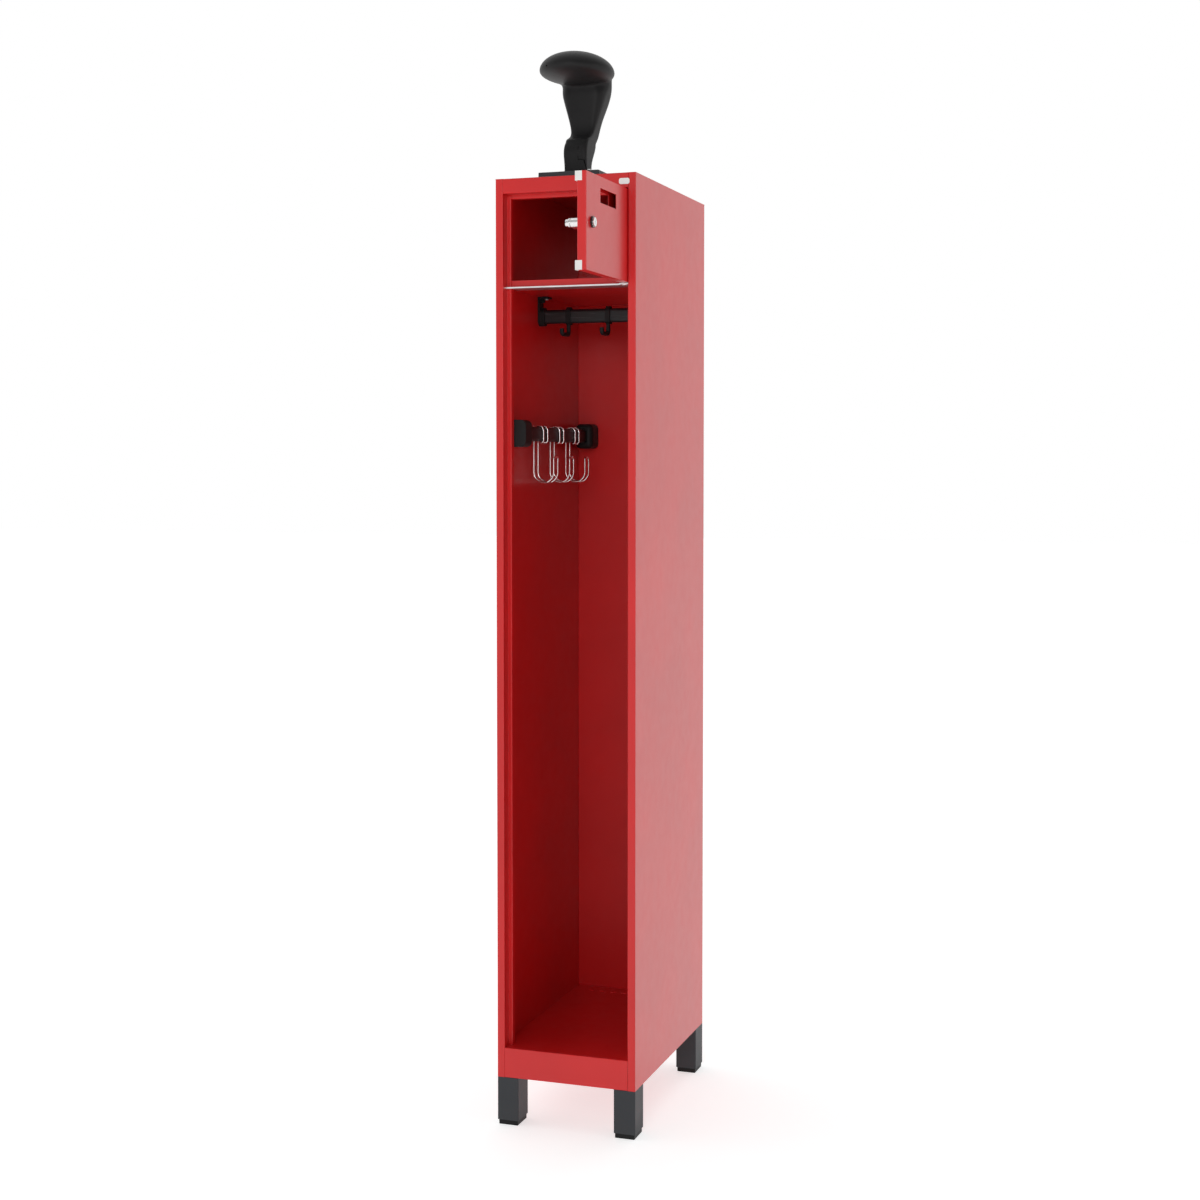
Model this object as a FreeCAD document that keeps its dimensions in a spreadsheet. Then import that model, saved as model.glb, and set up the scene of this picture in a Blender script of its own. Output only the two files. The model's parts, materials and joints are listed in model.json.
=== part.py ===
"""Open cloakroom locker on four legs: a steel carcass with a lockable top compartment, a coat rail, a hook rail
with three wire hooks, and a helmet rest on the roof. Millimetres. The origin is on the floor, at the middle of
the carcass's footprint; +X is right, +Y is back and +Z is up. The door stands open, square to the front."""

import FreeCAD, Part
import math
import operator
import os

import Sketcher

VECTOR = FreeCAD.Vector
AXIS_X, AXIS_Y, AXIS_Z = VECTOR(1, 0, 0), VECTOR(0, 1, 0), VECTOR(0, 0, 1)

doc = FreeCAD.newDocument("Locker")
sheet = doc.addObject("Spreadsheet::Sheet", "Sizes")
nodes = []


# ---------------------------------------------------------------- sizes

OPERATIONS = {"+": operator.add, "-": operator.sub, "*": operator.mul, "/": operator.truediv}


class Size:
    """A number that carries its formula, so that the same value places geometry and drives it."""

    def __init__(self, value, formula=None):
        self.value = float(value)
        self.formula = formula or f"({value:.10g})"

    def joined(self, sign, other):
        other = as_size(other)
        value = OPERATIONS[sign](self.value, other.value)
        return Size(value, f"({self.formula} {sign} {other.formula})")

    def __add__(self, other):
        return self.joined("+", other)

    def __radd__(self, other):
        return as_size(other).joined("+", self)

    def __sub__(self, other):
        return self.joined("-", other)

    def __rsub__(self, other):
        return as_size(other).joined("-", self)

    def __mul__(self, other):
        return self.joined("*", other)

    def __rmul__(self, other):
        return as_size(other).joined("*", self)

    def __truediv__(self, other):
        return self.joined("/", other)

    def __neg__(self):
        return Size(0) - self


def as_size(number):
    return number if isinstance(number, Size) else Size(number)


def size(name, value, note):
    """Writes one driving dimension to the sheet and returns it."""
    size.row += 1
    sheet.set(f"A{size.row}", name)
    sheet.set(f"B{size.row}", str(value))
    sheet.set(f"C{size.row}", note)
    sheet.setAlias(f"B{size.row}", name)
    return Size(value, f"Sizes.{name}")


size.row = 0


# ---------------------------------------------------------------- modelling helpers

def bind(thing, path, value):
    """Ties one property of an object to a size."""
    thing.setExpression(path, as_size(value).formula)


def new_body(label):
    body = doc.addObject("PartDesign::Body", label)
    body.Label = label
    nodes.append(body)
    return body


def place(thing, x=0, y=0, z=0, axis=AXIS_Z, angle=0):
    """Puts an object at a point, turned about an axis through it."""
    thing.Placement = FreeCAD.Placement(VECTOR(0, 0, 0), FreeCAD.Rotation(axis, as_size(angle).value))
    for name, value in zip("xyz", (x, y, z)):
        bind(thing, f"Placement.Base.{name}", value)


PLANE_ROLES = {"XY": "XY_Plane", "XZ": "XZ_Plane", "YZ": "YZ_Plane"}


def new_sketch(body, plane, level):
    """An empty sketch parallel to one of the body's origin planes, at a level on the axis across it."""
    sketch = body.newObject("Sketcher::SketchObject", "Sketch")
    role = PLANE_ROLES[plane]
    support = next(item for item in body.Origin.OriginFeatures if item.Role == role)
    sketch.AttachmentSupport = [(support, "")]
    sketch.MapMode = "FlatFace"
    bind(sketch, "AttachmentOffset.Base.z", -as_size(level) if plane == "XZ" else level)
    return sketch


def heading(start, end):
    """The direction of a run along x or y, as whole numbers."""
    steps = [as_size(b).value - as_size(a).value for a, b in zip(start[:2], end[:2])]
    return tuple((step > 1e-6) - (step < -1e-6) for step in steps)


def moved(point, direction, distance):
    """The point, moved by a distance along a heading."""
    shifted = []
    for value, step in zip(point, direction):
        value = as_size(value)
        shifted.append(value + distance if step > 0 else value - distance if step < 0 else value)
    return tuple(shifted)


def hold(sketch, constraints, geometry, end, point):
    """Notes the two constraints that hold an end of a sketch line at a point."""
    for kind, value in zip(("DistanceX", "DistanceY"), point):
        value = as_size(value)
        constraints.append((Sketcher.Constraint(kind, -1, 1, geometry, end, value.value), value))


def add_constraints(sketch, constraints):
    indices = sketch.addConstraint([constraint for constraint, value in constraints])
    for index, (constraint, value) in zip(indices, constraints):
        if value is not None:
            sketch.setExpression(f"Constraints[{index}]", value.formula)


def draw_circle(sketch, x, y, radius):
    x, y, radius = as_size(x), as_size(y), as_size(radius)
    centre = VECTOR(x.value, y.value, 0)
    geometry = sketch.addGeometry(Part.Circle(centre, AXIS_Z, radius.value))
    constraints = [(Sketcher.Constraint("Radius", geometry, radius.value), radius)]
    hold(sketch, constraints, geometry, 3, (x, y))
    add_constraints(sketch, constraints)


def draw_path(sketch, corners, closed=True):
    """Draws straight runs between corners (x, y), with an arc at each corner (x, y, radius) between square runs."""
    count = len(corners)
    arrive, leave, bends = [], [], []
    for index, corner in enumerate(corners):
        point = tuple(as_size(value) for value in corner[:2])
        if len(corner) < 3:
            arrive.append(point)
            leave.append(point)
            continue
        radius = as_size(corner[2])
        inward = heading(corners[index - 1], corner)
        outward = heading(corner, corners[(index + 1) % count])
        back = tuple(-step for step in inward)
        arrive.append(moved(point, back, radius))
        leave.append(moved(point, outward, radius))
        centre = moved(arrive[-1], outward, radius)
        bends.append((index, centre, radius, inward[0] * outward[1] - inward[1] * outward[0]))
    constraints, lines = [], {}
    for index in range(count if closed else count - 1):
        following = (index + 1) % count
        ends = [VECTOR(x.value, y.value, 0) for x, y in (leave[index], arrive[following])]
        line = sketch.addGeometry(Part.LineSegment(*ends))
        lines[index] = line
        hold(sketch, constraints, line, 1, leave[index])
        if arrive[following] is leave[following] and following in (lines if closed else ()):
            constraints.append((Sketcher.Constraint("Coincident", line, 2, lines[following], 1), None))
        elif arrive[following] is leave[following] and following < count - (0 if closed else 1):
            constraints.append((Sketcher.Constraint("Coincident", line, 2, line + 1, 1), None))
        else:
            hold(sketch, constraints, line, 2, arrive[following])
    for index, centre, radius, turn in bends:
        middle = VECTOR(centre[0].value, centre[1].value, 0)
        first, last = (arrive[index], leave[index]) if turn > 0 else (leave[index], arrive[index])
        angles = [math.atan2(y.value - middle.y, x.value - middle.x) for x, y in (first, last)]
        if angles[1] < angles[0]:
            angles[1] += 2 * math.pi
        arc = Part.ArcOfCircle(Part.Circle(middle, AXIS_Z, radius.value), *angles)
        bend = sketch.addGeometry(arc)
        before, after = lines[(index - 1) % count], lines[index]
        start, finish = (1, 2) if turn > 0 else (2, 1)
        constraints.append((Sketcher.Constraint("Coincident", bend, start, before, 2), None))
        constraints.append((Sketcher.Constraint("Coincident", bend, finish, after, 1), None))
        constraints.append((Sketcher.Constraint("Radius", bend, radius.value), radius))
    add_constraints(sketch, constraints)


def draw(sketch, outline):
    """Draws a closed outline: a circle (x, y, radius), or a list of corners."""
    if isinstance(outline, tuple):
        draw_circle(sketch, *outline)
    else:
        draw_path(sketch, outline)


def rectangle(x_low, x_high, y_low, y_high, radius=None):
    corners = [(x_low, y_low), (x_high, y_low), (x_high, y_high), (x_low, y_high)]
    return corners if radius is None else [(x, y, radius) for x, y in corners]


def folded(path, thick, bend):
    """The outline of a sheet that lies to the left of a square-cornered path, with the bend radius outside."""
    runs = [heading(start, end) for start, end in zip(path, path[1:])]
    near, far = [], []
    for index, point in enumerate(path):
        before, after = runs[max(index - 1, 0)], runs[min(index, len(runs) - 1)]
        inner = moved(point, (-before[1], before[0]), thick)
        turn = before[0] * after[1] - before[1] * after[0]
        if turn == 0:
            near.append(tuple(point))
            far.append(inner)
            continue
        inner = moved(inner, (-after[1], after[0]), thick)
        outside, inside = bend, bend - thick
        near.append((*point, outside if turn > 0 else inside))
        far.append((*inner, inside if turn > 0 else outside))
    return near + far[::-1]


def extrude(body, plane, outlines, low, high):
    """Adds a straight solid over the outlines, from low to high on the axis across the plane."""
    sketch = new_sketch(body, plane, high if plane == "XZ" else low)
    for outline in outlines:
        draw(sketch, outline)
    pad = body.newObject("PartDesign::Pad", "Pad")
    pad.Profile = sketch
    bind(pad, "Length", as_size(high) - low)
    return pad


def cut(body, plane, outlines, low, high):
    """Removes a straight solid over the outlines, from low to high on the axis across the plane."""
    sketch = new_sketch(body, plane, low if plane == "XZ" else high)
    for outline in outlines:
        draw(sketch, outline)
    pocket = body.newObject("PartDesign::Pocket", "Pocket")
    pocket.Profile = sketch
    bind(pocket, "Length", as_size(high) - low)
    return pocket


def loft(body, sections):
    """Adds a smooth solid through outlines in level planes, given as (level, outline)."""
    sketches = []
    for level, outline in sections:
        sketches.append(new_sketch(body, "XY", level))
        draw(sketches[-1], outline)
    feature = body.newObject("PartDesign::AdditiveLoft", "Loft")
    feature.Profile = sketches[0]
    feature.Sections = sketches[1:]
    return feature


def round_edges(body, radius, chosen):
    """Rounds the edges of a body that a test picks out."""
    doc.recompute()
    base = body.Tip
    names = [f"Edge{index + 1}" for index, edge in enumerate(base.Shape.Edges) if chosen(edge)]
    fillet = body.newObject("PartDesign::Fillet", "Fillet")
    fillet.Base = (base, names)
    bind(fillet, "Radius", radius)


def edges_at(axis, level):
    """A test for edges that lie wholly at one level on an axis, such as the rim of an end face."""
    def test(edge):
        box = edge.BoundBox
        low, high = (getattr(box, f"{axis}{end}") for end in ("Min", "Max"))
        return abs(low - as_size(level).value) < 1e-3 and abs(high - as_size(level).value) < 1e-3
    return test


def cylinder(label, point, direction, radius, length):
    """A round bar from a point along a direction."""
    bar = doc.addObject("Part::Cylinder", label)
    bind(bar, "Radius", radius)
    bind(bar, "Height", length)
    bar.Placement = FreeCAD.Placement(VECTOR(0, 0, 0), FreeCAD.Rotation(AXIS_Z, direction))
    for name, value in zip("xyz", point):
        bind(bar, f"Placement.Base.{name}", value)
    return bar


def screw(label, seat, direction, head_radius, head_height, shank_radius, shank_length):
    """A headed screw: its head stands out along the direction from the seat, and its shank runs the other way."""
    shank_end = moved(seat, tuple(-round(step) for step in direction), shank_length)
    head = cylinder(label + "_head", seat, direction, head_radius, head_height)
    shank = cylinder(label + "_shank", shank_end, direction, shank_radius, shank_length)
    whole = doc.addObject("Part::Fuse", label)
    whole.Base, whole.Tool = head, shank
    return whole


def group(label, members):
    """Separate solids that share one node."""
    whole = doc.addObject("Part::Compound", label)
    whole.Links = members
    whole.Label = label
    nodes.append(whole)


# ---------------------------------------------------------------- driving dimensions

width = size("width", 300, "carcass, side to side")
depth = size("depth", 500, "carcass, front to back")
carcass_tall = size("carcass_tall", 1850, "carcass without legs")
leg_tall = size("leg_tall", 100, "legs with their glides")
steel = size("steel", 1, "sheet thickness")
bend = size("bend", 1.5, "outer radius of a fold")
gap = size("gap", 0.2, "clearance between sheets that are joined")

post_face = size("post_face", 16, "front face of a post")
return_deep = size("return_deep", 24, "post and rail returns behind the front face")
stop_wide = size("stop_wide", 8.5, "stop flange that the door closes against")
lip_deep = size("lip_deep", 15, "lip behind the stop flange")
top_rail_tall = size("top_rail_tall", 30, "front face over the door")
base_rail_tall = size("base_rail_tall", 62, "front face under the opening")
rear_flange = size("rear_flange", 15, "side panels' flange behind the back panel")
slot_long = size("slot_long", 14, "vent slot in the floor")
slot_wide = size("slot_wide", 3, "vent slot in the floor")
slot_pitch = size("slot_pitch", 26, "vent slots, middle to middle")
slot_setback = size("slot_setback", 38, "vent slots, in front of the back panel")

leg_wide = size("leg_wide", 46, "leg tube, across")
leg_deep = size("leg_deep", 56, "leg tube, front to back")
leg_wall = size("leg_wall", 2, "leg tube's wall")
leg_plate = size("leg_plate", 5, "plate welded in the leg's top")
glide_tall = size("glide_tall", 10, "glide below the leg tube")
bolt_radius = size("bolt_radius", 4, "leg bolt")
bolt_inset = size("bolt_inset", 33, "leg bolt's axis from the carcass's outer side")

door_tall = size("door_tall", 184, "compartment door")
door_thick = size("door_thick", 18, "compartment door")
door_gap = size("door_gap", 1, "beside the closed door")
door_head_gap = size("door_head_gap", 2.5, "over the door")
door_foot_gap = size("door_foot_gap", 1.5, "between the door and the sill")
door_nose = size("door_nose", 8, "radius of the door's hinged edge")
door_lip = size("door_lip", 11, "skin's lip round the liner")
pin_radius = size("pin_radius", 3, "hinge pin")
running = size("running", 0.05, "radial clearance of a turning fit")
bush_radius = size("bush_radius", 5, "hinge bush's sleeve")
window_wide = size("window_wide", 95, "cut-out in the door")
window_tall = size("window_tall", 28, "cut-out in the door")
window_drop = size("window_drop", 21.5, "cut-out below the door's top")
window_shift = size("window_shift", 4, "cut-out's middle, from the door's middle towards its free edge")
buffer_wide = size("buffer_wide", 14, "corner buffer")
buffer_tall = size("buffer_tall", 18, "corner buffer")
buffer_proud = size("buffer_proud", 4.3, "corner buffer above the door's inner face")
lock_setback = size("lock_setback", 32.5, "lock axis from the door's free edge")
lock_radius = size("lock_radius", 9, "lock housing")
plug_radius = size("plug_radius", 6, "turning core of the lock")
cam_reach = size("cam_reach", 36.5, "cam's tip from the lock axis")
cam_thick = size("cam_thick", 3, "cam")

sill_thick = size("sill_thick", 3, "strip under the door")
sill_setback = size("sill_setback", 11, "strip's edge behind the front")
sill_deep = size("sill_deep", 50, "strip, front to back")
shelf_lip = size("shelf_lip", 14, "upstand on the compartment's floor")

coat_rail_wide = size("coat_rail_wide", 15, "flat oval coat rail, front to back")
coat_rail_tall = size("coat_rail_tall", 30, "flat oval coat rail, up and down")
coat_rail_drop = size("coat_rail_drop", 43, "coat rail's axis below the compartment")
coat_cup_wall = size("coat_cup_wall", 5, "wall of the cup round the coat rail's end")
coat_cup_deep = size("coat_cup_deep", 14, "cup, along the rail")
coat_hook_wide = size("coat_hook_wide", 10.4, "coat hook, along the rail")
coat_hook_thick = size("coat_hook_thick", 3.5, "wall of the hook's clip")
coat_hook_reach = size("coat_hook_reach", 50, "hook's curl, front to back")
coat_hook_drop = size("coat_hook_drop", 44.5, "hook's lowest point below the rail's axis")
coat_rail_air = size("coat_rail_air", 0.3, "clearance between a hook and the rail")

hook_rail_wide = size("hook_rail_wide", 16, "flat oval tube, across")
hook_rail_tall = size("hook_rail_tall", 30, "flat oval tube, up and down")
hook_rail_inset = size("hook_rail_inset", 29, "tube's axis from the carcass's outer side")
hook_rail_drop = size("hook_rail_drop", 297.5, "tube's axis below the compartment")
cap_wide = size("cap_wide", 42, "rail end cap")
cap_tall = size("cap_tall", 56, "rail end cap")
cap_deep = size("cap_deep", 45, "rail end cap, along the rail")
cap_round = size("cap_round", 11, "rounding of the end cap")
hook_screw_radius = size("hook_screw_radius", 2, "end cap's screw")
hook_head_radius = size("hook_head_radius", 3.5, "head of the end cap's screw")
hook_screw_aside = size("hook_screw_aside", 14.6, "front cap's screw, beside the tube's axis")
wire_radius = size("wire_radius", 2, "hook wire")
wire_pair = size("wire_pair", 25, "between a hook's two wires")
wire_air = size("wire_air", 1, "between the wire and the flat sides of the tube")
hook_throat = size("hook_throat", 45, "across the hook's bend")
hook_drop = size("hook_drop", 102, "lowest wire below the tube's axis")
hook_tip_drop = size("hook_tip_drop", 48.5, "hook's tip below the tube's axis")

rest_plate_wide = size("rest_plate_wide", 130, "helmet rest's steel plate")
rest_plate_tall = size("rest_plate_tall", 12, "helmet rest's steel plate")
rest_plate_steel = size("rest_plate_steel", 2, "helmet rest's steel plate")
rest_plate_setback = size("rest_plate_setback", 20, "plate behind the front")
rest_foot_setback = size("rest_foot_setback", 61.5, "foot's middle behind the plate's front edge")
rest_flange_wide = size("rest_flange_wide", 88, "foot's flange")
rest_flange_deep = size("rest_flange_deep", 72, "foot's flange")
rest_flange_tall = size("rest_flange_tall", 5, "foot's flange")
head_wide = size("head_wide", 148, "helmet rest's head")
head_long = size("head_long", 194, "helmet rest's head")
head_rise = size("head_rise", 40.5, "head above its widest line")
head_under = size("head_under", 19.5, "head below its widest line")
head_level = size("head_level", 218, "head's widest line above the roof")
head_wall = size("head_wall", 3, "moulded wall")

# Places that several pieces share.
left, right = -width / 2, width / 2
front, back = -depth / 2, depth / 2
carcass_top = leg_tall + carcass_tall
opening_half = width / 2 - post_face
opening_top = carcass_top - top_rail_tall
opening_low = leg_tall + base_rail_tall
stop_front = front + return_deep
post_back = stop_front + lip_deep
clear_half = opening_half - stop_wide
back_inner = back - 2 * steel
door_top = opening_top - door_head_gap
door_low = door_top - door_tall
sill_top = door_low - door_foot_gap
shelf_under = sill_top - sill_thick
hinge_x = opening_half - door_gap - door_thick / 2
hinge_y = front + door_thick / 2


# ---------------------------------------------------------------- carcass

def side_panel(label, side):
    """One sheet from the flange behind the back panel, round the side, to the post and its stop flange."""
    body = new_body(label)
    wall = side * width / 2
    outward = [
        (wall - side * rear_flange, back),
        (wall, back),
        (wall, front),
        (side * opening_half, front),
        (side * opening_half, stop_front),
        (side * clear_half, stop_front),
        (side * clear_half, post_back),
        (wall - side * 2 * steel, post_back),
    ]
    path = outward if side < 0 else outward[::-1]
    extrude(body, "XY", [folded(path, steel, bend)], leg_tall, carcass_top - steel)
    inner = wall - side * leg_wide
    edges = (wall, inner) if side < 0 else (inner, wall)
    extrude(body, "XY", [rectangle(*edges, front + steel + gap, back - steel - gap)], leg_tall, leg_tall + steel)
    for end in (-1, 1):
        bolt_x, bolt_y = bolt_place(side, end)
        cut(body, "XY", [(bolt_x, bolt_y, bolt_radius + gap)], leg_tall - steel, leg_tall + 2 * steel)
    if side < 0:
        hole = hook_rail_x - hook_screw_aside, hook_rail_z, hook_screw_radius + gap
        cut(body, "XZ", [hole], post_back - 2 * steel, post_back + steel)
    return body


def bolt_place(side, end):
    """A leg's bolt stands inwards of the post's flange, half way along the leg."""
    return side * (width / 2 - bolt_inset), end * (depth / 2 - leg_deep / 2)


def roof_panel():
    """The roof and the top rail: front face, return, stop flange and lip in one sheet."""
    body = new_body("roof_panel")
    path = [
        (back, carcass_top - rear_flange),
        (back, carcass_top),
        (front, carcass_top),
        (front, opening_top),
        (stop_front, opening_top),
        (stop_front, opening_top - stop_wide),
        (post_back, opening_top - stop_wide),
    ]
    half = opening_half - gap
    extrude(body, "YZ", [folded(path, steel, bend)], -half, half)
    for low, high in ((left, -half + steel), (half - steel, right)):
        extrude(body, "XY", [rectangle(low, high, front, back)], carcass_top - steel, carcass_top)
    cut(body, "XY", [rectangle(-half - steel, -clear_half + gap, stop_front - gap, post_back + steel),
                     rectangle(clear_half - gap, half + steel, stop_front - gap, post_back + steel)],
        opening_top - 2 * stop_wide, opening_top + steel + gap)
    cut(body, "XY", [(hinge_x, hinge_y, bush_radius + gap / 2)], opening_top - steel, opening_top + 2 * steel)
    return body


def floor_panel():
    """The floor, with the base rail folded down at its front and a row of vent slots near the back."""
    body = new_body("floor_panel")
    half, rear = opening_half - gap, back_inner - gap
    path = [
        (front + leg_wide / 2, leg_tall),
        (front, leg_tall),
        (front, opening_low),
        (post_back + 2 * steel, opening_low),
    ]
    extrude(body, "YZ", [folded(path[::-1], steel, bend)], -half, half)
    inside = width / 2 - steel - gap
    extrude(body, "XY", [rectangle(-inside, inside, post_back + gap, rear)], opening_low - steel, opening_low)
    extrude(body, "XZ", [rectangle(-inside, inside, opening_low - rear_flange, opening_low)], rear - steel, rear)
    flange_edge = width / 2 - leg_wide - gap
    under = leg_tall - steel, leg_tall + steel + gap
    notches = [rectangle(-half - steel, -flange_edge, front + steel, front + leg_wide),
               rectangle(flange_edge, half + steel, front + steel, front + leg_wide)]
    cut(body, "XY", notches, *under)
    post_notches = [rectangle(-half - steel, -clear_half + gap, stop_front - gap, post_back + gap),
                    rectangle(clear_half - gap, half + steel, stop_front - gap, post_back + gap)]
    cut(body, "XY", post_notches, opening_low - 2 * steel, opening_low + steel)
    slots = []
    for number in range(-4, 5):
        middle = number * slot_pitch
        slots.append(rectangle(middle - slot_long / 2, middle + slot_long / 2,
                               back_inner - slot_setback - slot_wide / 2, back_inner - slot_setback + slot_wide / 2,
                               slot_wide / 2 - slot_wide / 10))
    cut(body, "XY", slots, opening_low - 2 * steel, opening_low + steel)
    return body


def back_panel():
    body = new_body("back_panel")
    inside = width / 2 - bend
    extrude(body, "XZ", [rectangle(-inside, inside, leg_tall + bend, carcass_top - bend - gap)],
            back_inner, back_inner + steel)
    cut(body, "XZ", [(hook_rail_x, hook_rail_z, hook_screw_radius + gap)], back_inner - steel, back_inner + 2 * steel)
    return body


def compartment_shelf():
    """The compartment's floor: a sheet with an upstand at the front and flanges turned up along its sides."""
    body = new_body("compartment_shelf")
    inside, rear, tongue = width / 2 - steel - gap, back_inner - gap, clear_half - gap
    start = stop_front + steel
    extrude(body, "XY", [rectangle(-inside, inside, post_back + gap, rear)], sill_top, sill_top + steel)
    extrude(body, "YZ", [folded([(post_back + 2 * steel, sill_top), (start, sill_top),
                                 (start, sill_top + shelf_lip)][::-1], steel, bend)], -tongue, tongue)
    flange = sill_top, sill_top + shelf_lip
    for low in (-inside, inside - steel):
        extrude(body, "XY", [rectangle(low, low + steel, post_back + gap, rear)], *flange)
    extrude(body, "XY", [rectangle(-inside, inside, rear - steel, rear)], *flange)
    for side in (-1, 1):
        cut(body, "XY", [(side * coat_foot_x, coat_rail_y, coat_screw_radius + gap)],
            sill_top - steel, sill_top + 2 * steel)
    return body


def door_sill():
    """The strip under the door, notched round the stop flanges, with a tab for the lower hinge bush."""
    body = new_body("door_sill")
    half, narrow = opening_half - gap, clear_half - gap
    edge = front + sill_setback
    extrude(body, "XY", [rectangle(-half, half, edge, stop_front - gap)], shelf_under, sill_top)
    extrude(body, "XY", [rectangle(-narrow, narrow, edge + steel, edge + sill_deep)], shelf_under, sill_top)
    tab = rectangle(hinge_x - door_thick / 2, half, front + steel, edge + steel)
    extrude(body, "XY", [tab], shelf_under, sill_top)
    cut(body, "XY", [(hinge_x, hinge_y, bush_radius + gap / 2)], shelf_under - steel, sill_top + steel)
    return body


def badge_plate():
    """A small blank plate on the top rail."""
    body = new_body("badge_plate")
    badge_wide, badge_tall, badge_thick = 22, 12, 1
    middle, level = right - 24, carcass_top - 17
    outline = rectangle(middle - badge_wide / 2, middle + badge_wide / 2,
                        level - badge_tall / 2, level + badge_tall / 2, 4)
    extrude(body, "XZ", [outline], front - badge_thick, front)
    return body


def leg(label, side, end):
    """A leg in its own frame: its outer corner is at x = 0, y = 0, and it runs inwards and up from the glide."""
    body = new_body(label)
    tube = [rectangle(0, leg_wide, 0, leg_deep, leg_wall),
            rectangle(leg_wall, leg_wide - leg_wall, leg_wall, leg_deep - leg_wall, leg_wall / 2)]
    extrude(body, "XY", tube, glide_tall, leg_tall)
    plate = rectangle(leg_wall / 2, leg_wide - leg_wall / 2, leg_wall / 2, leg_deep - leg_wall / 2)
    extrude(body, "XY", [plate], leg_tall - leg_plate, leg_tall)
    bolt_x = bolt_inset if side < 0 else leg_wide - bolt_inset
    cut(body, "XY", [(bolt_x, leg_deep / 2, bolt_radius + gap)], leg_tall - 2 * leg_plate, leg_tall + steel)
    low_x = left if side < 0 else right - leg_wide
    low_y = front if end < 0 else back - leg_deep
    place(body, low_x, low_y, 0)
    return body


def glide(label, side, end):
    """The plastic plug in a leg's open end, which stands on the floor."""
    body = new_body(label)
    edge = leg_wall + gap
    plug = rectangle(edge, leg_wide - edge, edge, leg_deep - edge, leg_wall)
    extrude(body, "XY", [plug], 0, glide_tall * 3)
    rim = rectangle(leg_wall, leg_wide - leg_wall, leg_wall, leg_deep - leg_wall, leg_wall)
    extrude(body, "XY", [rim], 0, glide_tall - gap)
    round_edges(body, leg_wall / 2, edges_at("Z", 0))
    low_x = left if side < 0 else right - leg_wide
    low_y = front if end < 0 else back - leg_deep
    place(body, low_x, low_y, 0)
    return body


def leg_bolts():
    head_radius, head_height, shank = 6.5, 5.3, 14
    bolts = []
    for side in (-1, 1):
        for end in (-1, 1):
            seat = (*bolt_place(side, end), leg_tall + steel)
            bolts.append(screw("leg_bolt", seat, AXIS_Z, head_radius, head_height, bolt_radius, shank))
    group("leg_bolts", bolts)


# ---------------------------------------------------------------- compartment door

def on_door(body):
    """Door pieces are drawn closed round the hinge axis, and stand open at a right angle."""
    place(body, hinge_x, hinge_y, 0, AXIS_Z, 90)


half_thick = door_thick / 2
door_free = -(2 * opening_half - 2 * door_gap) + half_thick
lock_x = door_free + lock_setback
lock_z = (door_top + door_low) / 2
window_x = (door_free + half_thick) / 2 - window_shift
window_outline = rectangle(window_x - window_wide / 2, window_x + window_wide / 2,
                           door_top - window_drop - window_tall, door_top - window_drop)


def door_skin():
    """The door's outer tray: face, four edges and a lip all round its back."""
    body = new_body("door_skin")
    outer = [(door_free, -half_thick, bend), (half_thick, -half_thick, door_nose),
             (half_thick, half_thick, door_nose), (door_free, half_thick, bend)]
    extrude(body, "XY", [outer], door_low, door_top)
    inner_bend, inner_nose = bend - steel, door_nose - steel
    inner = [(door_free + steel, -half_thick + steel, inner_bend),
             (half_thick - steel, -half_thick + steel, inner_nose),
             (half_thick - steel, half_thick - steel, inner_nose),
             (door_free + steel, half_thick - steel, inner_bend)]
    mouth = rectangle(door_free + door_lip, half_thick - door_lip, door_low + door_lip, door_top - door_lip)
    cut(body, "XZ", [mouth], half_thick - 2 * steel, half_thick + steel)
    hollow = cut(body, "XY", [inner], door_low + steel, door_top - steel)
    hollow.Label = "door_hollow"
    cut(body, "XZ", [window_outline, (lock_x, lock_z, lock_radius + gap)], -half_thick - steel, 0)
    cut(body, "XY", [(0, 0, pin_radius + gap)], door_low - steel, door_top + steel)
    on_door(body)
    return body


def door_liner():
    """The flat inner sheet, which lies against the inside of the skin's lip."""
    body = new_body("door_liner")
    nose_flat = half_thick - door_nose
    outline = rectangle(door_free + bend + gap, nose_flat, door_low + steel + gap, door_top - steel - gap)
    holes = [window_outline, (lock_x, lock_z, lock_radius + gap)]
    extrude(body, "XZ", [outline, *holes], half_thick - 2 * steel, half_thick - steel)
    on_door(body)
    return body


def door_buffer(label, low):
    """A soft corner cap on the free edge, proud of the door's inner face."""
    body = new_body(label)
    seat = -half_thick + door_thick - buffer_wide + buffer_proud
    outline = rectangle(door_free - door_gap / 4, door_free + buffer_wide, seat, half_thick + buffer_proud)
    extrude(body, "XY", [outline], low, low + buffer_tall)
    slot = rectangle(door_free, door_free + buffer_wide + 1, seat - 1, half_thick)
    cut(body, "XY", [slot], low - 1, low + buffer_tall + 1)
    on_door(body)
    return body


def hinge_boss(label, low):
    """The block inside the door's corner that holds a hinge pin."""
    body = new_body(label)
    outer = half_thick - 2 * steel - gap
    extrude(body, "XY", [(0, 0, outer), (0, 0, pin_radius + gap / 4)], low, low + buffer_tall)
    on_door(body)
    return body


def hinge_pin(label, low, length):
    body = new_body(label)
    extrude(body, "XY", [(0, 0, pin_radius)], low, low + length)
    on_door(body)
    return body


def hinge_bush(label, sleeve_low, sleeve_high, flange_low, flange_high):
    """A flanged sleeve in the frame, in which a hinge pin turns."""
    body = new_body(label)
    bore = pin_radius + running
    extrude(body, "XY", [(0, 0, bush_radius), (0, 0, bore)], sleeve_low, sleeve_high)
    extrude(body, "XY", [(0, 0, bush_radius + 2 * steel), (0, 0, bore)], flange_low, flange_high)
    place(body, hinge_x, hinge_y, 0)
    return body


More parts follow.
